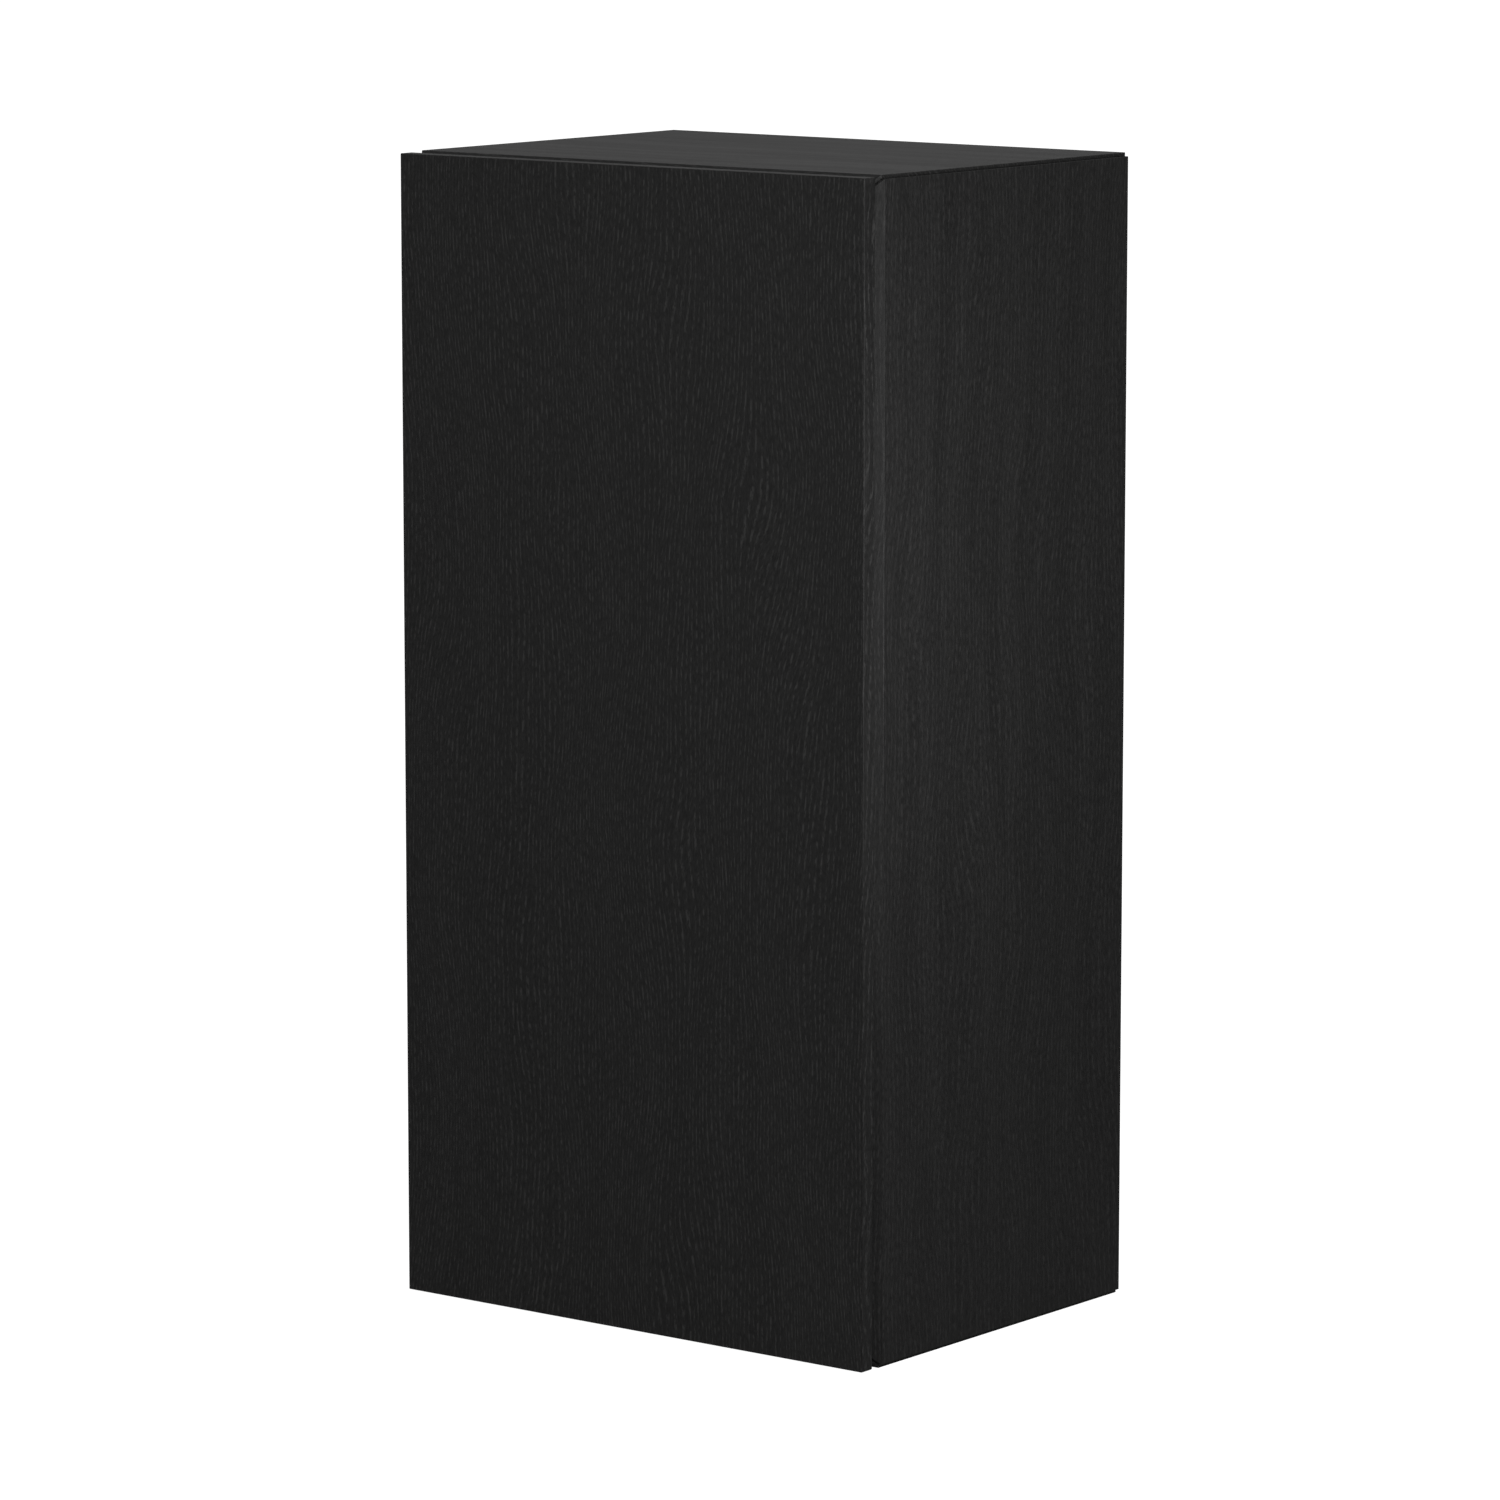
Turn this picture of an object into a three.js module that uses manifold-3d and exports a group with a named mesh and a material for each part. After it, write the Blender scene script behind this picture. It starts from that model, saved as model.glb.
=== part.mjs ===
// Tall wall cabinet with one handleless door, millimetres, +Z up.
// The door is on the -Y side, and the origin is the middle of the underside.
import * as THREE from 'three';
import { ConvexGeometry } from 'three/addons/geometries/ConvexGeometry.js';
import { mergeVertices } from 'three/addons/utils/BufferGeometryUtils.js';
import Module from 'manifold-3d';

const wasm = await Module();
wasm.setup();

// ---- driving dimensions -------------------------------------------------
const WIDTH = 400;
const DEPTH = 300;
const HEIGHT = 800;
const BOARD = 19;            // veneered board of the carcass
const CORNER_REBATE = 2.6;   // square shadow line along each mitred corner
const FINGER_BEVEL = 7;      // 45 degree bevel of the carcass's front edges, behind the door

const DOOR = 12;             // thickness of the flat door
const DOOR_INSET = 1;        // the door is this much smaller than the carcass on every side
const DOOR_GAP = 2;          // closed gap between the door and the carcass

const BACK = 6;              // back panel
const BACK_RECESS = 20;      // space behind the back panel for the hangers
const GROOVE_DEPTH = 7;
const FIT = 0.3;             // clearance of a board in its groove
const SCREW_FIT = 0.1;       // clearance round a screw
const BEYOND = 2;            // how far a cutting shape runs past the piece

const SHELF = 16;
const SHELF_SIDE_GAP = 1;
const SHELF_SETBACK = 10;
const SHELF_BACK_GAP = 1;
const SHELF_HEIGHTS = [262, 522];
const PIN_PITCH = 32;        // spacing of the bored heights of a shelf
const PIN_INSET = 37;        // from the board's edge to its column of holes
const PIN_HOLE = { radius: 2.6, depth: 10 };
const PEG = { radius: 3, length: 8, shank: 2.5, sunk: 9, collar: 3.9, collarHeight: 0.9 };

const HINGE_HEIGHTS = [100, 700];
const LINK_PIVOT = new THREE.Vector2(42.5, 3.5);    // on the arm, from the outer face and front edge
const CUP_PIVOT = new THREE.Vector2(13.9, -3.4);    // in the cup, door closed
const LINK_BOW = 4.8;
const CUP_CENTRE = 26;       // from the cabinet's outer face
const CUP_RADIUS = 17.3;
const CUP_DEPTH = 8.3;        // a shallow cup, for a thin door
const CUP_WALL = 0.9;
const CUP_RIM = 1.2;
const FLANGE = 1.1;
const CUP_WING = { x0: CUP_CENTRE - 1, x1: CUP_CENTRE + 16, reach: 29 };
const ROUND = 32;            // facets of a turned piece
const SMALL_ROUND = 16;
const PIN_ROUND = 12;

// ---- worked out ---------------------------------------------------------
const half = WIDTH / 2;
const frontPlane = -DEPTH / 2 + DOOR + DOOR_GAP;   // front edges of the carcass
const rear = DEPTH / 2;
const inner = half - BOARD;
const backFront = rear - BACK_RECESS - BACK;

// ---- finishes -----------------------------------------------------------
const finish = (color, roughness, metalness) => () =>
  new THREE.MeshStandardMaterial({ color, roughness, metalness });
const blackOak = finish(0x232120, 0.55, 0);
const blackBoard = finish(0x1d1c1b, 0.6, 0);
const nickel = finish(0xb9b8b3, 0.28, 1);
const zinc = finish(0xa9adb0, 0.4, 1);
const blackPlastic = finish(0x18181a, 0.5, 0);
const clearRubber = finish(0xcfd2d2, 0.35, 0);

// ---- shaping ------------------------------------------------------------
const cabinet = new THREE.Group();

function piece(name, geometry, material, parent = cabinet) {
  const mesh = new THREE.Mesh(geometry, material());
  mesh.name = name;
  parent.add(mesh);
  return mesh;
}

function toSolid(geometry) {
  const plain = geometry.clone();
  plain.deleteAttribute('normal');
  plain.deleteAttribute('uv');
  const merged = mergeVertices(plain, 1e-4);
  return new wasm.Manifold(new wasm.Mesh({
    numProp: 3,
    vertProperties: Float32Array.from(merged.attributes.position.array),
    triVerts: Uint32Array.from(merged.index.array),
  }));
}

function toGeometry(solid) {
  const mesh = solid.getMesh();
  const geometry = new THREE.BufferGeometry();
  geometry.setAttribute('position', new THREE.BufferAttribute(mesh.vertProperties, 3));
  geometry.setIndex(new THREE.BufferAttribute(mesh.triVerts, 1));
  return geometry;
}

function cut(geometry, ...tools) {
  return toGeometry(tools.reduce((solid, tool) => solid.subtract(toSolid(tool)), toSolid(geometry)));
}

function join(geometry, ...others) {
  return toGeometry(others.reduce((solid, other) => solid.add(toSolid(other)), toSolid(geometry)));
}

// A box between two corners.
function block([x0, y0, z0], [x1, y1, z1]) {
  const box = new THREE.BoxGeometry(x1 - x0, y1 - y0, z1 - z0);
  return box.translate((x0 + x1) / 2, (y0 + y1) / 2, (z0 + z1) / 2);
}

function outline(points) {
  return new THREE.Shape(points.map(([x, y]) => new THREE.Vector2(x, y)));
}

function bar(shape, depth, curveSegments = SMALL_ROUND) {
  return new THREE.ExtrudeGeometry(shape, { depth, bevelEnabled: false, curveSegments });
}

// A plan outline carried up from z0 to z1.
const upright = (shape, z0, z1) => bar(shape, z1 - z0).translate(0, 0, z0);

// An outline drawn in X and Z, carried back from y0 to y1.
const crosswise = (shape, y0, y1) => bar(shape, y1 - y0).rotateX(Math.PI / 2).translate(0, y1, 0);

// An outline drawn in Y and Z, carried across from x0 to x1.
function sideways(shape, x0, x1) {
  return bar(shape, x1 - x0).rotateX(Math.PI / 2).rotateZ(Math.PI / 2).translate(x0, 0, 0);
}

// A solid of revolution about Y; its profile runs [radius, y] up the outside.
function turned(profile, segments = ROUND) {
  return new THREE.LatheGeometry(profile.map(([r, y]) => new THREE.Vector2(r, y)), segments);
}

const rod = (radius, y0, y1, segments = SMALL_ROUND) =>
  turned([[0, y0], [radius, y0], [radius, y1], [0, y1]], segments);
const alongX = (geometry) => geometry.rotateZ(-Math.PI / 2);
const alongZ = (geometry) => geometry.rotateX(Math.PI / 2);

// ---- carcass: four mitred boards, bevelled round the front ---------------
// End grain profile of a board as [distance along it, distance from the outer face].
function mitredProfile(length) {
  const end = length / 2;
  return [[-end, 0], [end, 0], [end - BOARD, BOARD], [-end + BOARD, BOARD]];
}

function sideOutline(side) {
  const points = mitredProfile(HEIGHT).map(([z, x]) => [side * (half - x), z + HEIGHT / 2]);
  return outline(side > 0 ? points : points.reverse());
}

function levelOutline(isTop) {
  const points = mitredProfile(WIDTH).map(([x, z]) => [x, isTop ? HEIGHT - z : z]);
  return outline(isTop ? points.reverse() : points);
}

// What the finger bevel takes off: a wedge as [distance in from the outer face, Y].
const bevelReach = FINGER_BEVEL + BEYOND;
const WEDGE = [
  [-BEYOND, frontPlane - BEYOND], [bevelReach, frontPlane - BEYOND], [-BEYOND, frontPlane + bevelReach],
];
const sideBevel = (side) => {
  const points = WEDGE.map(([x, y]) => [side * (half - x), y]);
  return upright(outline(side > 0 ? points.reverse() : points), -BEYOND, HEIGHT + BEYOND);
};
const levelBevel = (isTop) => {
  const points = WEDGE.map(([z, y]) => [y, isTop ? HEIGHT - z : z]);
  return sideways(outline(isTop ? points.reverse() : points), -half - BEYOND, half + BEYOND);
};

// The square shadow line along a corner, which follows the mitre down the finger bevel.
function cornerRebate(side, isTop) {
  const bevelStart = frontPlane + FINGER_BEVEL;
  const square = (y, inset) => [CORNER_REBATE, -BEYOND].flatMap((x) => [CORNER_REBATE, -BEYOND].map((z) =>
    new THREE.Vector3(side * (half - inset - x), y, isTop ? HEIGHT - inset - z : inset + z)));
  const along = new ConvexGeometry([...square(rear + BEYOND, 0), ...square(bevelStart, 0)]);
  const down = new ConvexGeometry([...square(bevelStart, 0), ...square(frontPlane - BEYOND, bevelReach)]);
  return [along, down];
}

// The back panel's groove is one frame-shaped cut through all four boards.
const grooveCut = block(
  [-inner - GROOVE_DEPTH, backFront - FIT, BOARD - GROOVE_DEPTH],
  [inner + GROOVE_DEPTH, backFront + BACK + FIT, HEIGHT - BOARD + GROOVE_DEPTH],
);

const pinColumns = [frontPlane + PIN_INSET, backFront - PIN_INSET];
const pinHeight = (shelf) => shelf - PEG.radius;

function pinHoles(side) {
  const holes = [];
  for (const shelf of SHELF_HEIGHTS) {
    for (const step of [-1, 0, 1]) {
      for (const y of pinColumns) {
        const hole = alongX(rod(PIN_HOLE.radius, -PIN_HOLE.depth, PIN_HOLE.depth, PIN_ROUND));
        holes.push(hole.translate(side * inner, y, pinHeight(shelf) + step * PIN_PITCH));
      }
    }
  }
  return holes;
}

const PLATE_SCREW = { radius: 2.2, reach: 12, y: 37, spread: 16, head: 4, headHeight: 1.4 };
const HANGER = { width: 26, height: 56, drop: 6, wall: 1.5, depth: 16.4 };
const HANGER_SCREW = { radius: 1.8, reach: 13, spread: 18, head: 3.4, headHeight: 1.4 };
const hangerTop = HEIGHT - BOARD - HANGER.drop;
const hangerMiddle = hangerTop - HANGER.height / 2;
const hangerScrewY = backFront + BACK + 9;

function hangerScrewHoles(side) {
  const { radius, reach, spread } = HANGER_SCREW;
  return [-1, 1].map((step) => alongX(rod(radius + SCREW_FIT, -reach - 1, HANGER.wall + 1))
    .rotateZ(side > 0 ? Math.PI : 0)
    .translate(side * inner, hangerScrewY, hangerMiddle + step * spread));
}

const plateScrewHoles = HINGE_HEIGHTS.flatMap((z) => [-1, 1].map((step) =>
  alongX(rod(PLATE_SCREW.radius + SCREW_FIT, -PLATE_SCREW.reach - 1, 1))
    .translate(-inner, frontPlane + PLATE_SCREW.y, z + step * PLATE_SCREW.spread)));

for (const [name, side] of [['side_panel_left', -1], ['side_panel_right', 1]]) {
  const holes = [...pinHoles(side), ...hangerScrewHoles(side), ...(side < 0 ? plateScrewHoles : [])];
  const edges = [sideBevel(side), ...cornerRebate(side, true), ...cornerRebate(side, false)];
  piece(name, cut(crosswise(sideOutline(side), frontPlane, rear), ...edges, grooveCut, ...holes), blackOak);
}
for (const [name, isTop] of [['top_panel', true], ['bottom_panel', false]]) {
  const edges = [levelBevel(isTop), ...cornerRebate(-1, isTop), ...cornerRebate(1, isTop)];
  piece(name, cut(crosswise(levelOutline(isTop), frontPlane, rear), ...edges, grooveCut), blackOak);
}

// ---- back panel in its groove, bored for the hangers' adjusting screws ---
const HOOK_SCREW = { radius: 2.4, head: 4, headDepth: 1.8, x: inner - 15, z: hangerMiddle - 14 };
const backReach = GROOVE_DEPTH - 1;
const backHoles = [-1, 1].map((side) =>
  rod(HOOK_SCREW.radius + FIT, backFront - 1, backFront + BACK + 1)
    .translate(side * HOOK_SCREW.x, 0, HOOK_SCREW.z));
piece('back_panel', cut(block(
  [-inner - backReach, backFront, BOARD - backReach],
  [inner + backReach, backFront + BACK, HEIGHT - BOARD + backReach],
), ...backHoles), blackBoard);

// ---- shelves on pegs ----------------------------------------------------
const PEG_PROFILE = [
  [0, -PEG.sunk], [PEG.shank, -PEG.sunk], [PEG.shank, 0], [PEG.collar, 0], [PEG.collar, PEG.collarHeight],
  [PEG.radius, PEG.collarHeight], [PEG.radius, PEG.length], [0, PEG.length],
];
SHELF_HEIGHTS.forEach((z, level) => {
  const label = ['lower', 'upper'][level];
  const reach = inner - SHELF_SIDE_GAP;
  piece(`shelf_${label}`, block(
    [-reach, frontPlane + SHELF_SETBACK, z],
    [reach, backFront - SHELF_BACK_GAP, z + SHELF],
  ), blackOak);
  for (const [sideName, side] of [['left', -1], ['right', 1]]) {
    pinColumns.forEach((y, column) => {
      const pin = piece(`shelf_pin_${label}_${['front', 'rear'][column]}_${sideName}`,
        alongX(turned(PEG_PROFILE, PIN_ROUND)), nickel);
      pin.rotation.z = side > 0 ? Math.PI : 0;
      pin.position.set(side * inner, y, pinHeight(z));
    });
  }
});

// ---- door: a flat slab with square edges ---------------------------------
const doorX = half - DOOR_INSET;
const doorBack = frontPlane - DOOR_GAP;

const CUP_SCREW = { radius: 1.7, reach: 9, x: CUP_CENTRE + 9.5, spread: 22.5, head: 3.5, headHeight: 1.5 };
const doorBackLocal = -DOOR_GAP;      // plan Y of the door's back, from the front plane
const cupBores = HINGE_HEIGHTS.flatMap((z) => [
  rod(CUP_RADIUS + 0.2, doorBackLocal - CUP_DEPTH - 0.2, 1, ROUND).translate(CUP_CENTRE, 0, z),
  ...[-1, 1].map((step) => rod(CUP_SCREW.radius + SCREW_FIT, doorBackLocal - CUP_SCREW.reach - 1, 1)
    .translate(CUP_SCREW.x, 0, z + step * CUP_SCREW.spread)),
]).map((geometry) => geometry.translate(-half, frontPlane, 0));
const slab = block([-doorX, -DEPTH / 2, DOOR_INSET], [doorX, doorBack, HEIGHT - DOOR_INSET]);
piece('door_panel', cut(slab, ...cupBores), blackOak);

// ---- door bumpers on the closing side -----------------------------------
const BUMPER = { radius: 4, height: 1.6, fromEnd: 40, facets: 20 };
const bumperX = half - (BOARD + FINGER_BEVEL) / 2;    // the middle of the side board's front edge
const BUMPER_PROFILE = [
  [0, 0], [BUMPER.radius, 0], [BUMPER.radius, BUMPER.height * 0.4],
  [BUMPER.radius * 0.85, BUMPER.height * 0.75], [BUMPER.radius * 0.5, BUMPER.height], [0, BUMPER.height],
];
for (const [label, z] of [['lower', BUMPER.fromEnd], ['upper', HEIGHT - BUMPER.fromEnd]]) {
  piece(`door_bumper_${label}`, turned(BUMPER_PROFILE, BUMPER.facets), clearRubber)
    .position.set(bumperX, doorBack, z);
}

// ---- hinges, drawn in plan from the cabinet's outer face and front plane --
const PIN_RADIUS = { arm: 1.5, cup: 1.0 };
const PRESSED = 0.05;        // clearance round a pin where it is held
const RUNNING = 0.1;         // clearance round a pin that the link turns on
const CUP_PIN = { reach: 11, bore: 12.6 };    // half lengths: the pin ends inside the cup's wall
const LINK = { thickness: 1.6, halfHeight: 5, armEye: 3, cupEye: 2.3 };
const ARM = { halfHeight: 7, wall: 1.2, eye: 3.6, pinBeyond: 0.4, face: BOARD + 12.5 };
const ARM_SCREW = { radius: 2, reach: 9.5, head: 3.6, headHeight: 1.6, y: 58 };
const THROUGH = 20;          // half length of a bore that goes right through a hinge piece

function eyelet(centre, outer, hole, z0, z1) {
  const ring = new THREE.Shape().absarc(centre.x, centre.y, outer, 0, Math.PI * 2);
  const geometry = upright(ring, z0, z1);
  return { geometry, bore: alongZ(rod(hole, -THROUGH, THROUGH)).translate(centre.x, centre.y, 0) };
}

function hingeLink() {
  const along = CUP_PIVOT.clone().sub(LINK_PIVOT);
  const across = new THREE.Vector2(-along.y, along.x).normalize();
  const middle = LINK_PIVOT.clone().lerp(CUP_PIVOT, 0.5).addScaledVector(across, 2 * LINK_BOW);
  const bow = new THREE.QuadraticBezierCurve(LINK_PIVOT, middle, CUP_PIVOT);
  const stations = Array.from({ length: 11 }, (_, i) => i / 10);
  const edge = (offset) => stations.map((t) => {
    const tangent = bow.getTangent(t);
    return bow.getPoint(t).add(new THREE.Vector2(-tangent.y, tangent.x).multiplyScalar(offset));
  });
  const strip = new THREE.Shape([...edge(LINK.thickness / 2), ...edge(-LINK.thickness / 2).reverse()]);
  const armEye = eyelet(LINK_PIVOT, LINK.armEye, PIN_RADIUS.arm + RUNNING, -LINK.halfHeight, LINK.halfHeight);
  const cupEye = eyelet(CUP_PIVOT, LINK.cupEye, PIN_RADIUS.cup + RUNNING, -LINK.halfHeight, LINK.halfHeight);
  return cut(join(upright(strip, -LINK.halfHeight, LINK.halfHeight), armEye.geometry, cupEye.geometry),
    armEye.bore, cupEye.bore);
}

const PLATE = {
  x0: BOARD, x1: BOARD + 2, spine: BOARD + 7.5, y0: 26, y1: 70,
  halfSpine: 5, halfFoot: 8, halfWing: 24, wingY: 6,
};

function hingeArm() {
  const p = LINK_PIVOT;
  const shape = outline([
    [p.x - 7, p.y - 1], [p.x, p.y - ARM.eye], [p.x + 2.6, p.y - 2.4], [p.x + ARM.eye, p.y],
    [p.x + 2.6, p.y + 6], [BOARD + 19, 22], [ARM.face, 34], [BOARD + 12, 74], [BOARD + 8, 76],
    [BOARD + 8, 30], [BOARD + 12, 16], [p.x - 9, p.y + 5],
  ]);
  const cavity = outline([
    [p.x - 12, p.y - 6], [p.x + 9, p.y - 6], [p.x + 9, p.y + 3.4], [p.x + 1.4, p.y + 5],
    [BOARD + 17.6, 21.4], [BOARD + 11, 33.4], [BOARD + 10.4, 80], [BOARD + 2, 80], [BOARD + 2, 20],
  ]);
  const inside = ARM.halfHeight - ARM.wall;
  const bore = alongZ(rod(PIN_RADIUS.arm + PRESSED, -THROUGH, THROUGH)).translate(p.x, p.y, 0);
  const screwBore = alongX(rod(ARM_SCREW.radius + SCREW_FIT, BOARD, BOARD + THROUGH))
    .translate(0, ARM_SCREW.y, 0);
  const solid = upright(shape, -ARM.halfHeight, ARM.halfHeight);
  return cut(solid, upright(cavity, -inside, inside), bore, screwBore);
}

function mountingPlate() {
  const wings = block(
    [PLATE.x0, PLATE_SCREW.y - PLATE.wingY, -PLATE.halfWing],
    [PLATE.x1, PLATE_SCREW.y + PLATE.wingY, PLATE.halfWing],
  );
  const foot = block([PLATE.x0, PLATE.y0, -PLATE.halfFoot], [PLATE.x1, PLATE.y1, PLATE.halfFoot]);
  const spine = block(
    [PLATE.x0, PLATE.y0 + 4, -PLATE.halfSpine],
    [PLATE.spine, PLATE.y1 - 2, PLATE.halfSpine],
  );
  const screwBores = [-1, 1].map((step) => alongX(rod(PLATE_SCREW.radius + SCREW_FIT, BOARD - 1, BOARD + 4))
    .translate(0, PLATE_SCREW.y, step * PLATE_SCREW.spread));
  const armBore = alongX(rod(ARM_SCREW.radius + SCREW_FIT, BOARD + 1.5, BOARD + THROUGH))
    .translate(0, ARM_SCREW.y, 0);
  return cut(join(wings, foot, spine), ...screwBores, armBore);
}

function hingeCup() {
  const rim = CUP_RADIUS + CUP_RIM;
  const bowl = CUP_RADIUS - CUP_WALL;
  const dish = turned([
    [0, -CUP_DEPTH], [CUP_RADIUS, -CUP_DEPTH], [CUP_RADIUS, 0], [rim, 0], [rim, FLANGE],
    [bowl, FLANGE], [bowl, CUP_WALL - CUP_DEPTH], [0, CUP_WALL - CUP_DEPTH],
  ]).translate(CUP_CENTRE, doorBackLocal, 0);
  const wing = cut(
    block(
      [CUP_WING.x0, doorBackLocal, -CUP_WING.reach],
      [CUP_WING.x1, doorBackLocal + FLANGE, CUP_WING.reach],
    ),
    rod(CUP_RADIUS - CUP_WALL / 2, -THROUGH, THROUGH, ROUND).translate(CUP_CENTRE, 0, 0),
    ...[-1, 1].map((step) => rod(CUP_SCREW.radius + SCREW_FIT, -THROUGH, THROUGH)
      .translate(CUP_SCREW.x, 0, step * CUP_SCREW.spread)),
  );
  const pinBore = alongZ(rod(PIN_RADIUS.cup + PRESSED, -CUP_PIN.bore, CUP_PIN.bore, PIN_ROUND))
    .translate(CUP_PIVOT.x, CUP_PIVOT.y, 0);
  return cut(join(dish, wing), pinBore);
}

const screwProfile = ({ radius, reach, head, headHeight }) =>
  [[0, -reach], [radius, -reach], [radius, 0], [head, 0], [head * 0.92, headHeight], [0, headHeight]];

HINGE_HEIGHTS.forEach((z, level) => {
  const label = ['lower', 'upper'][level];
  const hinge = new THREE.Group();
  hinge.position.set(-half, frontPlane, z);
  cabinet.add(hinge);

  piece(`mounting_plate_${label}`, mountingPlate(), nickel, hinge);
  piece(`hinge_arm_${label}`, hingeArm(), nickel, hinge);
  piece(`hinge_link_${label}`, hingeLink(), nickel, hinge);
  piece(`hinge_cup_${label}`, hingeCup(), nickel, hinge);
  const armPinReach = ARM.halfHeight + ARM.pinBeyond;
  piece(`arm_pin_${label}`, alongZ(rod(PIN_RADIUS.arm, -armPinReach, armPinReach)), zinc, hinge)
    .position.set(LINK_PIVOT.x, LINK_PIVOT.y, 0);
  const cupPin = alongZ(rod(PIN_RADIUS.cup, -CUP_PIN.reach, CUP_PIN.reach, PIN_ROUND));
  piece(`cup_pin_${label}`, cupPin, zinc, hinge)
    .position.set(CUP_PIVOT.x, CUP_PIVOT.y, 0);
  piece(`arm_screw_${label}`, alongX(turned(screwProfile(ARM_SCREW), SMALL_ROUND)), zinc, hinge)
    .position.set(ARM.face, ARM_SCREW.y, 0);
  [['a', -1], ['b', 1]].forEach(([letter, step]) => {
    const plateScrew = alongX(turned(screwProfile(PLATE_SCREW), SMALL_ROUND));
    piece(`plate_screw_${label}_${letter}`, plateScrew, zinc, hinge)
      .position.set(PLATE.x1, PLATE_SCREW.y, step * PLATE_SCREW.spread);
    piece(`cup_screw_${label}_${letter}`, turned(screwProfile(CUP_SCREW), SMALL_ROUND), zinc, hinge)
      .position.set(CUP_SCREW.x, doorBackLocal + FLANGE, step * CUP_SCREW.spread);
  });
});

// ---- concealed hangers behind the back panel ----------------------------
const HOOK = { thickness: 3, width: 16, below: 24, above: 21, lip: 17 };
const CAP = { inset: 4, width: 24, depth: 4, wall: 1.2, reach: 13 };
const capZ = HOOK_SCREW.z - hangerMiddle;
for (const [sideName, side] of [['left', -1], ['right', 1]]) {
  const hanger = new THREE.Group();
  hanger.position.set(side * inner, backFront + BACK, hangerMiddle);
  cabinet.add(hanger);
  const towards = (x) => -side * x;       // distance from the side board, towards the middle
  const span = (x0, x1) => [towards(x0), towards(x1)].sort((a, b) => a - b);

  const [u0, u1] = span(0, HANGER.width);
  const [c0, c1] = span(HANGER.wall, HANGER.width - HANGER.wall);
  const channel = cut(
    block([u0, FIT, -HANGER.height / 2], [u1, HANGER.depth, HANGER.height / 2]),
    block([c0, FIT + HANGER.wall, -HANGER.height], [c1, HANGER.depth + 5, HANGER.height]),
    ...[-1, 1].map((step) => alongX(rod(HANGER_SCREW.radius + SCREW_FIT, -5, 5))
      .translate(towards(0), hangerScrewY - backFront - BACK, step * HANGER_SCREW.spread)),
    rod(HOOK_SCREW.radius + SCREW_FIT, -2, 6).translate(towards(inner - HOOK_SCREW.x), 0, capZ),
  );
  piece(`hanger_housing_${sideName}`, channel, zinc, hanger);

  const y0 = FIT + HANGER.wall + 0.2;
  const hookEnd = HANGER.depth + HOOK.thickness;
  const [h0, h1] = span(inner - HOOK_SCREW.x - HOOK.width / 2, inner - HOOK_SCREW.x + HOOK.width / 2);
  const underHook = HOOK.above - HOOK.thickness;
  const hookShape = outline([
    [y0, -HOOK.below], [y0 + HOOK.thickness, -HOOK.below], [y0 + HOOK.thickness, underHook],
    [HANGER.depth, underHook], [HANGER.depth, HOOK.above - HOOK.lip], [hookEnd, HOOK.above - HOOK.lip],
    [hookEnd, HOOK.above], [y0, HOOK.above],
  ]);
  const hook = cut(sideways(hookShape, h0, h1),
    rod(HOOK_SCREW.radius + SCREW_FIT, -2, y0 + 5).translate(towards(inner - HOOK_SCREW.x), 0, capZ));
  piece(`hanger_hook_${sideName}`, hook, zinc, hanger);

  const adjuster = turned(screwProfile({ radius: HOOK_SCREW.radius, reach: BACK + 7, head: HOOK_SCREW.head,
    headHeight: HOOK_SCREW.headDepth }), SMALL_ROUND).rotateX(Math.PI);
  piece(`hanger_adjuster_${sideName}`, adjuster, zinc, hanger)
    .position.set(towards(inner - HOOK_SCREW.x), -BACK, capZ);

  [['a', -1], ['b', 1]].forEach(([letter, step]) => {
    const screw = alongX(turned(screwProfile(HANGER_SCREW), SMALL_ROUND));
    const mesh = piece(`hanger_screw_${sideName}_${letter}`, screw, zinc, hanger);
    mesh.rotation.z = side > 0 ? Math.PI : 0;
    mesh.position.set(towards(HANGER.wall), hangerScrewY - backFront - BACK, step * HANGER_SCREW.spread);
  });

  const [k0, k1] = span(CAP.inset, CAP.inset + CAP.width);
  const cap = cut(
    block([k0, -BACK - CAP.depth, capZ - CAP.reach], [k1, -BACK, capZ + CAP.reach]),
    block([k0 + CAP.wall, -BACK - CAP.depth + CAP.wall, capZ - CAP.reach + CAP.wall],
      [k1 - CAP.wall, -BACK + 1, capZ + CAP.reach - CAP.wall]),
  );
  piece(`hanger_cap_${sideName}`, cap, blackPlastic, hanger);
}

export default cabinet;
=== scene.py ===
"""Tall handleless cabinet in black open-pored oak: boards, door, shelves, hinges, hangers and a stage."""

import math

import bmesh
import bpy
from bpy.props import FloatProperty, FloatVectorProperty, IntProperty, PointerProperty
from bpy.types import Operator, Panel, PropertyGroup
from mathutils import Matrix, Vector


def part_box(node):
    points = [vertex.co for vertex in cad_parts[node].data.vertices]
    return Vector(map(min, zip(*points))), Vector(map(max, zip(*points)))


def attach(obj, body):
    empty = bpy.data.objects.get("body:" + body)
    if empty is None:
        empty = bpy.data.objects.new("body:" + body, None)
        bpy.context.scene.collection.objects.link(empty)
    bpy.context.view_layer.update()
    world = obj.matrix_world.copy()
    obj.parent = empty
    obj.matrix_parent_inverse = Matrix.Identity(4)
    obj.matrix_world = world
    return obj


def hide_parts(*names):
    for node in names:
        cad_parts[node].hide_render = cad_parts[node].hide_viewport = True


bl_info = {
    "name": "Tall handleless cabinet",
    "version": (1, 0, 0),
    "blender": (4, 5, 0),
    "location": "View3D > Sidebar > Cabinet",
    "description": "Builds a tall black oak cabinet with a flat handleless door round its packed frame",
    "category": "Add Mesh",
}

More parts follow.
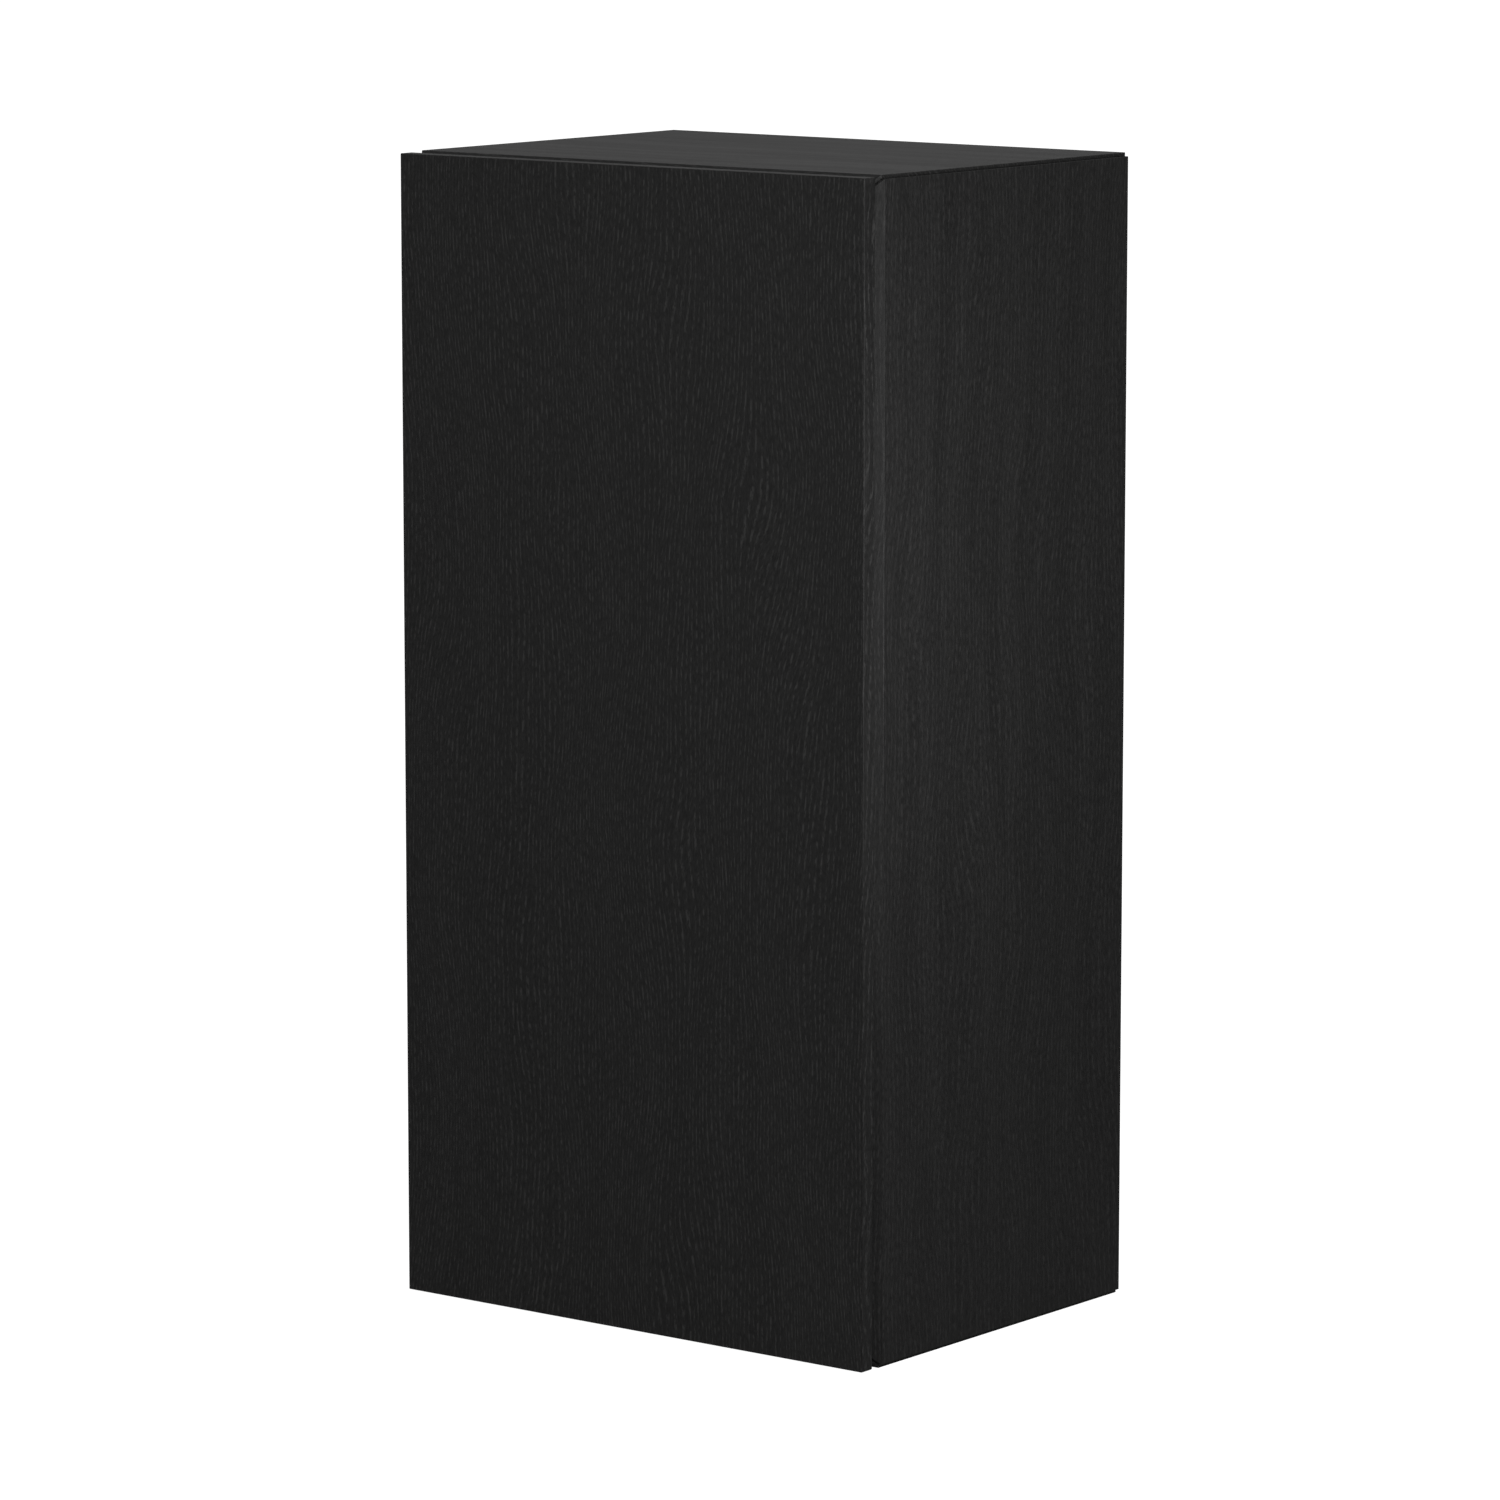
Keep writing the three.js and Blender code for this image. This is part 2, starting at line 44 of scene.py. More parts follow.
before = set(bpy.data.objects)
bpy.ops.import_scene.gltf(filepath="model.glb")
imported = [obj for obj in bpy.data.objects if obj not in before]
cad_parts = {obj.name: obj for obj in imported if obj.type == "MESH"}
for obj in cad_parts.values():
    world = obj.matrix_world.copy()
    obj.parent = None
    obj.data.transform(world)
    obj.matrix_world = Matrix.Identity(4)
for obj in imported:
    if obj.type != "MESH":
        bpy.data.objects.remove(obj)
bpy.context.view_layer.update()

MM = 0.001
X, Y, Z = Vector((1, 0, 0)), Vector((0, 1, 0)), Vector((0, 0, 1))

# The carcass, read from the frame.
LEFT_BOARD, RIGHT_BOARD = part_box("side_panel_left"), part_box("side_panel_right")
OUTER_LEFT, OUTER_RIGHT = LEFT_BOARD[0].x, RIGHT_BOARD[1].x
INNER_LEFT, INNER_RIGHT = LEFT_BOARD[1].x, RIGHT_BOARD[0].x
FRONT, REAR = LEFT_BOARD[0].y, LEFT_BOARD[1].y
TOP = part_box("top_panel")[1].z
BOARD = INNER_LEFT - OUTER_LEFT
SHADOW_LINE = LEFT_BOARD[0].z

LEVELS = ("lower", "upper")
SIDES = (("left", -1), ("right", 1))

# Fittings, in plan from the cabinet's outer left face and the carcass's front edge.
LINK_PIVOT = Vector((42.5, 3.5)) * MM
CUP_PIVOT = Vector((13.9, -3.4)) * MM
LINK_BOW = 4.8 * MM
CUP_CENTRE = 26 * MM
CUP_RADIUS = 17.3 * MM
CUP_DEPTH = 8.3 * MM
CUP_WALL = 0.9 * MM
FLANGE = 1.1 * MM
DOOR_GAP = 2 * MM
ARM_SCREW_PLACE = (BOARD + 12.5 * MM, 58 * MM, 0)
PLATE_THICKNESS = 2 * MM
CHANNEL_WALL = 1.5 * MM

# Pins of the hinges, as (radius, half length).
LINK_PIN = (1.5 * MM, 7.4 * MM)
CUP_PIN = (1.0 * MM, 11 * MM)

# Screws, as (reach below the head, radius, head's radius, head's height).
ARM_SCREW = (9.5 * MM, 2 * MM, 3.6 * MM, 1.6 * MM)
PLATE_SCREW = (12 * MM, 2.2 * MM, 4 * MM, 1.4 * MM)
CUP_SCREW = (9 * MM, 1.7 * MM, 3.5 * MM, 1.5 * MM)
CHANNEL_SCREW = (13 * MM, 1.8 * MM, 3.4 * MM, 1.4 * MM)
ADJUSTER_RADIUS, ADJUSTER_HEAD, ADJUSTER_HEAD_HEIGHT = 2.4 * MM, 4 * MM, 1.8 * MM

# Bored holes, as (radius, depth).
PIN_HOLE = (2.6 * MM, 10 * MM)
PLATE_SCREW_HOLE = (2.3 * MM, 13 * MM)
CUP_SCREW_HOLE = (1.8 * MM, 10 * MM)
CUP_HOLE = (CUP_RADIUS + 0.2 * MM, CUP_DEPTH + 0.3 * MM)
FINE_CHAMFER = 0.1 * MM

SMALL_ROUND = 32  # faces round a pin or a screw
BUMPER_ROUND = 40

MIDDLE = (0.3, 0.7)  # where most of a noise's values lie

# The stage, in metres, degrees and watts.
FLOOR_SIZE = 60
CAMERA_PLACE = (2.8835, -3.7359, 1.1161)
CAMERA_TILT, CAMERA_AZIMUTH = 8.803, 37.774
SENSOR_WIDTH = 36  # millimetres
SOFTBOXES = (  # name, place, aim, diameter, power
    ("side_softbox", (1.25, -0.85, 1.45), (0.2, -0.1, 0.6), 0.7, 13),
    ("edge_softbox", (0.65, -0.15, 0.52), (0.2, -0.15, 0.5), 0.35, 1.35),
    ("front_softbox", (-1.2, -4.0, 0.4), (0, 0, 0.3), 2.0, 19),
)


# ---------------------------------------------------------------- settings


class JoinerySettings(PropertyGroup):
    """How the boards' edges are finished."""

    arris: FloatProperty(
        name="Arris", description="Rounding of the outside edges", default=0.7 * MM, unit="LENGTH"
    )
    mitre_arris: FloatProperty(
        name="Mitre arris", description="Rounding of the edges where two boards meet", default=0.35 * MM,
        unit="LENGTH",
    )
    bevel: FloatProperty(
        name="Finger bevel", description="Bevel of the carcass's front edges, behind the door",
        default=7 * MM, unit="LENGTH",
    )
    pin_pitch: FloatProperty(
        name="Pin pitch", description="Distance between the heights bored for a shelf", default=32 * MM,
        unit="LENGTH",
    )
    round_steps: IntProperty(
        name="Round steps", description="Faces round a turned piece", default=48, min=12
    )


class OakSettings(PropertyGroup):
    """The stained veneer."""

    stain: FloatVectorProperty(
        name="Stain", description="Colour of the stained wood", subtype="COLOR", size=3,
        default=(0.0078, 0.0077, 0.0076), min=0, max=1,
    )
    pore: FloatVectorProperty(
        name="Open pore", description="Colour of the open pores, which catch the light",
        subtype="COLOR", size=3, default=(0.050, 0.0495, 0.049), min=0, max=1,
    )
    roughness: FloatProperty(
        name="Roughness", description="Roughness of the matt lacquer", default=0.52, subtype="FACTOR"
    )
    pore_width: FloatProperty(
        name="Pore width", description="Distance across the grain over which the pores change",
        default=1.7 * MM, unit="LENGTH",
    )
    line_pitch: FloatProperty(
        name="Line pitch", description="Distance between the growth lines", default=3.3 * MM, unit="LENGTH"
    )
    line_drift: FloatProperty(
        name="Line drift", description="How unevenly the growth lines are spaced", default=9.0, min=0
    )
    pore_length: FloatProperty(
        name="Pore length", description="Distance along the grain over which the pores change",
        default=5.5 * MM, unit="LENGTH",
    )


class StageSettings(PropertyGroup):
    """Floor, lights and camera."""

    surround: FloatProperty(
        name="Surround", description="Brightness of the studio round the cabinet", default=0.355, min=0
    )
    floor_glow: FloatProperty(
        name="Floor glow", description="Light that the pale floor adds to the view", default=1.0, min=0
    )
    focal_length: FloatProperty(
        name="Focal length", description="Lens of the camera, in millimetres", default=165.0, unit="CAMERA"
    )


def joinery():
    return bpy.context.scene.cabinet_joinery


def oak_look():
    return bpy.context.scene.cabinet_oak


def stage_look():
    return bpy.context.scene.cabinet_stage


# --------------------------------------------------------------- materials


class Shader:
    """A node tree under construction: one call adds a node, with its inputs set or linked."""

    def __init__(self, name):
        self.material = bpy.data.materials.new(name)
        self.material.use_nodes = True
        self.tree = self.material.node_tree
        self.surface = self.tree.nodes["Principled BSDF"]

    def add(self, kind, inputs=(), **settings):
        node = self.tree.nodes.new(kind)
        for key, value in settings.items():
            setattr(node, key, value)
        self.feed(node, inputs)
        return node

    def feed(self, node, inputs):
        for key, value in dict(inputs).items():
            if isinstance(value, bpy.types.NodeSocket):
                self.tree.links.new(value, node.inputs[key])
            else:
                node.inputs[key].default_value = value

    def place(self, scale):
        """The piece's own coordinates, in metres, times scale."""
        coordinates = self.add("ShaderNodeTexCoord").outputs["Object"]
        mapping = self.add("ShaderNodeMapping", {"Vector": coordinates, "Scale": scale})
        return mapping.outputs["Vector"]

    def noise(self, vector, detail=2.0, roughness=0.5):
        return self.add(
            "ShaderNodeTexNoise",
            {"Vector": vector, "Scale": 1.0, "Detail": detail, "Roughness": roughness},
        ).outputs["Fac"]

    def between(self, value, low, high, to_low=0.0, to_high=1.0):
        """value, mapped smoothly from low..high to to_low..to_high."""
        return self.add(
            "ShaderNodeMapRange",
            {"Value": value, "From Min": low, "From Max": high, "To Min": to_low, "To Max": to_high},
            interpolation_type="SMOOTHSTEP",
        ).outputs["Result"]

    def maths(self, operation, a, b):
        return self.add("ShaderNodeMath", {0: a, 1: b}, operation=operation).outputs[0]

    def blend(self, factor, a, b, kind="MIX"):
        mix = self.add("ShaderNodeMix", {"Factor": factor}, data_type="RGBA", blend_type=kind)
        self.feed(mix, {6: a, 7: b})
        return mix.outputs[2]

    def relief(self, height, distance, strength=1.0):
        bump = self.add("ShaderNodeBump", {"Height": height, "Distance": distance, "Strength": strength})
        self.feed(self.surface, {"Normal": bump.outputs["Normal"]})


def grain_scale(along, width, length):
    """Noise scale that stretches a pattern along the grain."""
    return tuple(1 / length if axis == along else 1 / width for axis in "xyz")


def black_oak(name, along, across, contrast=1.0, coarseness=1.0, evenness=1.0):
    """Open-pored oak veneer, stained black under matt lacquer.

    The grain runs along an axis. Growth lines cross the direction across, a vector, and evenness says
    how closely the pores keep to them.
    """
    look = oak_look()
    make = Shader(name)

    # The grain wanders sideways a little, and more strongly over a whole board.
    plain = make.place((1, 1, 1))
    sway = make.add(
        "ShaderNodeTexNoise",
        {"Vector": make.place(grain_scale(along, 0.16, 0.42)), "Scale": 1.0, "Detail": 2.0},
    ).outputs["Color"]
    centred = make.add("ShaderNodeVectorMath", {0: sway, 1: (0.5, 0.5, 0.5)}, operation="SUBTRACT")
    sideways = tuple(0.0 if axis == along else 0.09 for axis in "xyz")
    swung = make.add("ShaderNodeVectorMath", {0: centred.outputs[0], 1: sideways}, operation="MULTIPLY")
    grain = make.add("ShaderNodeVectorMath", {0: plain, 1: swung.outputs[0]}, operation="ADD").outputs[0]

    def stretched(width, length, **settings):
        scaled = make.add(
            "ShaderNodeVectorMath", {0: grain, 1: grain_scale(along, width, length)}, operation="MULTIPLY"
        )
        return make.noise(scaled.outputs[0], **settings)

    # Growth lines: a wave across the grain whose spacing varies.
    pitch = math.tau / (look.line_pitch * coarseness)
    reach = make.add("ShaderNodeVectorMath", {0: grain, 1: Vector(across) * pitch}, operation="DOT_PRODUCT")
    drift = make.maths("MULTIPLY", stretched(11 * MM, 130 * MM, detail=2.0), look.line_drift)
    wave = make.maths("SINE", make.maths("ADD", reach.outputs["Value"], drift), 0.0)
    lines = make.between(wave, -0.1, 0.95, 1 - evenness, 1.0)

    dashes = make.between(
        stretched(look.pore_width * coarseness, look.pore_length, detail=3.0, roughness=0.65), 0.42, 0.66
    )
    open_pores = make.maths("MULTIPLY", lines, dashes)
    fibre = stretched(look.pore_width * coarseness * 0.6, look.pore_length * 0.8, detail=2.0, roughness=0.6)
    bands = stretched(16 * MM, 420 * MM, detail=3.0, roughness=0.55)

    # The stain is a little uneven in soft stripes.
    stripes = make.between(bands, *MIDDLE, 0.85, 1.15)
    tone = make.maths("MULTIPLY", stripes, make.between(fibre, *MIDDLE, 0.4, 1.6))
    wood = make.blend(1.0, (*look.stain, 1.0), tone, "MULTIPLY")
    colour = make.blend(make.maths("MULTIPLY", open_pores, contrast), wood, (*look.pore, 1.0))
    roughness = make.between(bands, *MIDDLE, look.roughness - 0.03, look.roughness + 0.03)
    make.feed(make.surface, {"Base Color": colour, "Roughness": roughness, "Specular IOR Level": 0.3})
    height = make.maths("SUBTRACT", make.maths("MULTIPLY", fibre, 0.4), open_pores)
    make.relief(height, 0.11 * MM * coarseness * contrast, 0.8)
    return make.material


def black_foil():
    """Black foil on a thin board, with a faint printed grain."""
    make = Shader("black_foil")
    streaks = make.noise(make.place(grain_scale("z", 1.6 * MM, 40 * MM)), detail=3.0)
    speckle = make.noise(make.place((900, 900, 900)), detail=1.0)
    dark, pale = (0.0085, 0.0083, 0.0083, 1), (0.0125, 0.0122, 0.012, 1)
    colour = make.blend(make.between(streaks, *MIDDLE), dark, pale)
    make.feed(make.surface, {"Base Color": colour, "Roughness": make.between(speckle, *MIDDLE, 0.5, 0.62)})
    make.relief(speckle, 0.02 * MM, 0.5)
    return make.material


def nickel_plate():
    """Nickel-plated pressed steel: drawn lines and a little haze."""
    make = Shader("nickel_plate")
    drawn = make.noise(make.place((5200, 260, 5200)), detail=2.0)
    haze = make.noise(make.place((160, 160, 160)), detail=3.0)
    colour = make.blend(make.between(haze, *MIDDLE), (0.60, 0.585, 0.55, 1), (0.70, 0.685, 0.65, 1))
    brushed = make.between(drawn, *MIDDLE, 0.17, 0.27)
    shine = make.maths("ADD", brushed, make.between(haze, *MIDDLE, 0.0, 0.08))
    make.feed(make.surface, {"Base Color": colour, "Metallic": 1.0, "Roughness": shine})
    make.relief(drawn, 0.008 * MM, 0.5)
    return make.material


def zinc_plate():
    """Bright zinc plating, with faint cool blotches."""
    make = Shader("zinc_plate")
    blotch = make.add(
        "ShaderNodeTexVoronoi", {"Vector": make.place((420, 420, 420)), "Scale": 1.0}
    ).outputs["Color"]
    cloud = make.noise(make.place((240, 240, 240)), detail=3.0)
    value = make.add("ShaderNodeSeparateColor", {"Color": blotch}).outputs["Red"]
    colour = make.blend(value, (0.50, 0.52, 0.55, 1), (0.62, 0.64, 0.67, 1))
    shine = make.between(cloud, *MIDDLE, 0.28, 0.45)
    make.feed(make.surface, {"Base Color": colour, "Metallic": 1.0, "Roughness": shine})
    make.relief(cloud, 0.015 * MM, 0.5)
    return make.material


def black_plastic():
    """Moulded black plastic with a fine spark-eroded texture."""
    make = Shader("black_plastic")
    spark = make.noise(make.place((2600, 2600, 2600)), detail=2.0)
    colour = make.blend(make.between(spark, *MIDDLE), (0.012, 0.012, 0.013, 1), (0.019, 0.019, 0.020, 1))
    make.feed(make.surface, {"Base Color": colour, "Roughness": make.between(spark, *MIDDLE, 0.42, 0.58)})
    make.relief(spark, 0.03 * MM, 0.7)
    return make.material


def clear_rubber():
    """Clear soft polyurethane, very slightly cloudy."""
    make = Shader("clear_rubber")
    cloud = make.noise(make.place((700, 700, 700)), detail=2.0)
    colour = make.blend(make.between(cloud, *MIDDLE), (0.80, 0.82, 0.82, 1), (0.88, 0.89, 0.89, 1))
    make.feed(
        make.surface,
        {"Base Color": colour, "Roughness": make.between(cloud, *MIDDLE, 0.18, 0.30),
         "Transmission Weight": 0.7, "IOR": 1.49},
    )
    return make.material


MATERIAL_MAKERS = {
    "oak_door": lambda: black_oak("oak_door", "z", (1, 0.5, 0), contrast=0.62),
    "oak_side": lambda: black_oak("oak_side", "z", (0.4, 0.72, 0), contrast=0.33),
    "oak_level": lambda: black_oak("oak_level", "x", (0, 1, 0.6), contrast=0.55),
    "oak_top": lambda: black_oak("oak_top", "x", (0, 1, 0.6), contrast=0.8, coarseness=1.5, evenness=0.8),
    "black_foil": black_foil,
    "nickel_plate": nickel_plate,
    "zinc_plate": zinc_plate,
    "black_plastic": black_plastic,
    "clear_rubber": clear_rubber,
}


def finish_of(name):
    """The named material, made the first time that it is asked for."""
    return bpy.data.materials.get(name) or MATERIAL_MAKERS[name]()


# ---------------------------------------------------------------- shaping


def facing(direction, at):
    """The place of a shape made along Z, turned to a direction and moved to a point."""
    turn = Vector(direction).to_track_quat("Z", "Y").to_matrix().to_4x4()
    return Matrix.Translation(at) @ turn


def on_curve(start, bend, end, t):
    """A point on the curve that leaves start towards bend and arrives at end."""
    return start.lerp(bend, t).lerp(bend.lerp(end, t), t)


def softened(points, radius, steps=3):
    """The line with each of its inner corners rounded."""
    line = [Vector(p) for p in points]
    soft = [line[0]]
    for before, corner, after in zip(line, line[1:], line[2:]):
        reach = min(radius, (before - corner).length / 2, (after - corner).length / 2)
        start = corner + (before - corner).normalized() * reach
        end = corner + (after - corner).normalized() * reach
        soft += [on_curve(start, corner, end, i / steps) for i in range(steps + 1)]
    return soft + [line[-1]]


def verts_of(geometry):
    return [item for item in geometry if isinstance(item, bmesh.types.BMVert)]


def edges_of(geometry):
    return [item for item in geometry if isinstance(item, bmesh.types.BMEdge)]


def folds(bm, least=1.0):
    """The edges whose faces meet at more than an angle, in radians."""
    return [edge for edge in bm.edges if edge.calc_face_angle(0) > least]


def edges_along(bm, direction):
    """The edges that run along a direction."""
    return [e for e in bm.edges if abs((e.verts[0].co - e.verts[1].co).normalized().dot(direction)) > 0.9]


def raised(line, low, high):
    """An open sheet: a line in plan, carried up from one height to another."""
    bm = bmesh.new()
    foot = [bm.verts.new((p.x, p.y, low)) for p in line]
    edges = [bm.edges.new(pair) for pair in zip(foot, foot[1:])]
    up = bmesh.ops.extrude_edge_only(bm, edges=edges)["geom"]
    bmesh.ops.translate(bm, vec=Z * (high - low), verts=verts_of(up))
    return bm


def extruded(outline, start, end):
    """A closed bar: a 3-D outline carried by the vector from start to end."""
    bm = bmesh.new()
    face = bm.faces.new([bm.verts.new(Vector(p) + Vector(start)) for p in outline])
    top = bmesh.ops.extrude_face_region(bm, geom=[face])["geom"]
    bmesh.ops.translate(bm, verts=verts_of(top), vec=Vector(end) - Vector(start))
    bmesh.ops.recalc_face_normals(bm, faces=bm.faces)
    return bm


def block(low, high):
    """A box between two corners."""
    low, high = Vector(low), Vector(high)
    bm = bmesh.new()
    bmesh.ops.create_cube(bm, size=1)
    bmesh.ops.scale(bm, vec=high - low, verts=bm.verts)
    bmesh.ops.translate(bm, vec=(low + high) / 2, verts=bm.verts)
    return bm


def turned(profile, place, segments=None):
    """A profile of (radius, height), starting and ending on the axis, spun full circle."""
    bm = bmesh.new()
    line = [bm.verts.new((r, 0, h)) for r, h in profile]
    edges = [bm.edges.new(pair) for pair in zip(line, line[1:])]
    bmesh.ops.spin(
        bm, geom=line + edges, cent=(0, 0, 0), axis=(0, 0, 1), dvec=(0, 0, 0), angle=math.tau,
        steps=segments or joinery().round_steps, use_merge=True, use_duplicate=False,
    )
    bmesh.ops.remove_doubles(bm, verts=bm.verts, dist=1e-7)
    bmesh.ops.recalc_face_normals(bm, faces=bm.faces)
    bmesh.ops.transform(bm, matrix=place, verts=bm.verts)
    return bm


def ease(bm, edges, width, segments=3):
    """Rounds edges, and shades only the rounding smooth."""
    made = bmesh.ops.bevel(
        bm, geom=list(edges), offset=width, offset_type="OFFSET", segments=segments, profile=0.5,
        affect="EDGES", material=-1, clamp_overlap=True,
    )
    for face in made["faces"]:
        face.smooth = True
    return made["faces"]


def widest_face(bm, direction):
    """The largest flat face that looks a given way."""
    looking = [f for f in bm.faces if f.normal.dot(direction) > 0.99]
    return max(looking, key=lambda f: f.calc_area())


def circle(centre, direction, radius, segments=24):
    """Points round a circle."""
    place = facing(direction, centre)
    turns = [math.tau * i / segments for i in range(segments)]
    return [place @ Vector((radius * math.cos(a), radius * math.sin(a), 0)) for a in turns]


def plus_sign(centre, direction, reach, half_width):
    """Points round a cross recess."""
    place = facing(direction, centre)
    quarter = [(half_width, half_width), (half_width, reach), (-half_width, reach)]
    points = []
    for i in range(4):
        turn = Matrix.Rotation(math.radians(90 * i), 4, "Z")
        points += [place @ (turn @ Vector((x, y, 0))) for x, y in quarter]
    return points


def sink(bm, face, hollows):
    """Replaces a flat face by one with hollows: each is (outline, steps), a step being (depth, scale)."""
    normal = face.normal.copy()
    rim = list(face.edges)
    bmesh.ops.delete(bm, geom=[face], context="FACES_ONLY")
    rings = []
    for outline, _ in hollows:
        verts = [bm.verts.new(p) for p in outline]
        rings.append([bm.edges.new(pair) for pair in zip(verts, verts[1:] + verts[:1])])
    edges = rim + [edge for ring in rings for edge in ring]
    bmesh.ops.triangle_fill(bm, use_beauty=True, use_dissolve=False, edges=edges, normal=normal)
    for (outline, steps), ring in zip(hollows, rings):
        centre = sum((Vector(p) for p in outline), Vector()) / len(outline)
        for depth, scale in steps:
            geometry = bmesh.ops.extrude_edge_only(bm, edges=ring)["geom"]
            verts, ring = verts_of(geometry), edges_of(geometry)
            bmesh.ops.scale(bm, vec=(scale,) * 3, space=Matrix.Translation(-centre), verts=verts)
            bmesh.ops.translate(bm, vec=-normal * depth, verts=verts)
            centre -= normal * depth
        bmesh.ops.contextual_create(bm, geom=ring)
    bmesh.ops.recalc_face_normals(bm, faces=bm.faces)


def bored(centre, direction, radius, depth, chamfer=0.3 * MM):
    """A round hole with a small chamfer, for sink()."""
    wide = radius + chamfer
    return circle(centre, direction, wide), [(chamfer, radius / wide), (depth - chamfer, 1.0)]


def folded(face_points, web_edges, thickness, bend):
    """Pressed sheet: two cheeks with the same outline at two heights, joined by a web along some edges."""
    bm = bmesh.new()
    low, high = ([bm.verts.new(p) for p in points] for points in face_points)
    bm.faces.new(low[::-1])
    bm.faces.new(high)
    for i in web_edges:
        j = (i + 1) % len(low)
        bm.faces.new((low[i], low[j], high[j], high[i]))
    bmesh.ops.recalc_face_normals(bm, faces=bm.faces)
    ease(bm, folds(bm), bend)
    thicken(bm, thickness)
    return bm


def thicken(bm, thickness):
    """Gives a sheet its thickness and closes it."""
    bmesh.ops.solidify(bm, geom=list(bm.faces), thickness=thickness)
    bmesh.ops.recalc_face_normals(bm, faces=bm.faces)


def merge_into(bm, other):
    """Adds another shape to a piece as a shell of its own."""
    mesh = bpy.data.meshes.new("shell")
    other.to_mesh(mesh)
    other.free()
    bm.from_mesh(mesh)
    bpy.data.meshes.remove(mesh)


def shade_round(bm, sharp=math.radians(35)):
    """Shades a turned piece smooth between its sharp edges."""
    for face in bm.faces:
        face.smooth = True
    for edge in bm.edges:
        edge.smooth = len(edge.link_faces) == 2 and edge.calc_face_angle() < sharp


def keep(name, bm, materials, body, slot, *nodes):
    """Makes the finished piece, which rides on a body and stands for CAD nodes."""
    mesh = bpy.data.meshes.new(name)
    bm.to_mesh(mesh)
    bm.free()
    for material in materials:
        mesh.materials.append(finish_of(material))
    piece = bpy.data.objects.new(name, mesh)
    bpy.context.scene.collection.objects.link(piece)
    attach(piece, body)
    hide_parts(*nodes)
    return piece


def centre_of(node):
    low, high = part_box(node)
    return (low + high) / 2


def paint_faces(bm, index, test):
    """Gives the faces that pass a test another of the piece's materials."""
    for face in bm.faces:
        if test(face.normal):
            face.material_index = index


# ----------------------------------------------------------------- boards


def mitred_board(length, to_world):
    """A carcass board: its section, carried from the rear to where the finger bevel starts, then drawn in."""
    size = joinery()
    end, notch = length / 2, SHADOW_LINE
    outline = [
        (notch - end, 0), (end - notch, 0), (end - notch, notch), (end - BOARD, BOARD),
        (BOARD - end, BOARD), (notch - end, notch),
    ]
    bm = bmesh.new()
    ring = [bm.verts.new(to_world(along, depth, REAR)) for along, depth in outline]
    bm.faces.new(ring)
    edges = [bm.edges.get(pair) for pair in zip(ring, ring[1:] + ring[:1])]
    for y, drawn in ((FRONT + size.bevel, 0), (FRONT, size.bevel)):
        made = bmesh.ops.extrude_edge_only(bm, edges=edges)["geom"]
        edges, ring = edges_of(made), verts_of(made)
        for vert, (along, depth) in zip(ring, outline):
            inset = drawn if depth < BOARD else 0
            vert.co = to_world(along - math.copysign(inset, along), depth + inset, y)
    bm.faces.new(ring)
    bmesh.ops.recalc_face_normals(bm, faces=bm.faces)
    ease(bm, folds(bm, math.radians(30)), size.mitre_arris, 2)
    return bm


class CABINET_OT_carcass(Operator):
    """Four mitred boards with a square shadow line along each corner, bored for pins and screws"""

    bl_idname = "cabinet.carcass"
    bl_label = "Carcass boards"

    def execute(self, context):
        for name, side in SIDES:
            self.side_board(name, side)
        self.level_board("top_panel", TOP, -1)
        self.level_board("bottom_panel", 0.0, 1)
        return {"FINISHED"}

    def side_board(self, name, side):
        outer = side * OUTER_RIGHT
        bm = mitred_board(TOP, lambda along, depth, y: (outer - side * depth, y, TOP / 2 + along))
        inner = outer - side * BOARD
        inward = -X * side
        pins = [f"shelf_pin_lower_{end}_{name}" for end in ("front", "rear")]
        columns = sorted({round(centre_of(pin).y, 5) for pin in pins})
        hollows = []
        for level in LEVELS:
            height = centre_of(f"shelf_pin_{level}_front_{name}").z
            for step in (-1, 0, 1):
                for y in columns:
                    at = Vector((inner, y, height + step * joinery().pin_pitch))
                    hollows.append(bored(at, inward, *PIN_HOLE))
        if side < 0:
            for level in LEVELS:
                for letter in "ab":
                    at = centre_of(f"plate_screw_{level}_{letter}")
                    at.x = inner
                    hollows.append(bored(at, inward, *PLATE_SCREW_HOLE, FINE_CHAMFER))
        sink(bm, widest_face(bm, inward), hollows)
        keep(f"side_board_{name}", bm, ["oak_side"], "cabinet", "carcass_oak", f"side_panel_{name}")

    def level_board(self, node, face, inward):
        width = OUTER_RIGHT - OUTER_LEFT
        bm = mitred_board(width, lambda along, depth, y: (along, y, face + inward * depth))
        paint_faces(bm, 1, lambda normal: normal.z * -inward > 0.9)
        keep(node.replace("panel", "board"), bm, ["oak_level", "oak_top"], "cabinet", "carcass_oak", node)


class CABINET_OT_door(Operator):
    """The door: a flat slab with its grain upright, bored for the hinge cups"""

    bl_idname = "cabinet.door"
    bl_label = "Door"

    def execute(self, context):
        low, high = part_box("door_panel")
        bm = block(low, high)
        ease(bm, bm.edges, joinery().arris)

        hollows = []
        for level in LEVELS:
            at = Vector((OUTER_LEFT + CUP_CENTRE, high.y, centre_of(f"hinge_cup_{level}").z))
            hollows.append(bored(at, Y, *CUP_HOLE, FINE_CHAMFER))
            for letter in "ab":
                mouth = centre_of(f"cup_screw_{level}_{letter}")
                mouth.y = high.y
                hollows.append(bored(mouth, Y, *CUP_SCREW_HOLE, FINE_CHAMFER))
        sink(bm, widest_face(bm, Y), hollows)
        paint_faces(bm, 1, lambda normal: abs(normal.z) > 0.6)
        keep("door", bm, ["oak_door", "oak_level"], "door", "door_oak", "door_panel")
        return {"FINISHED"}


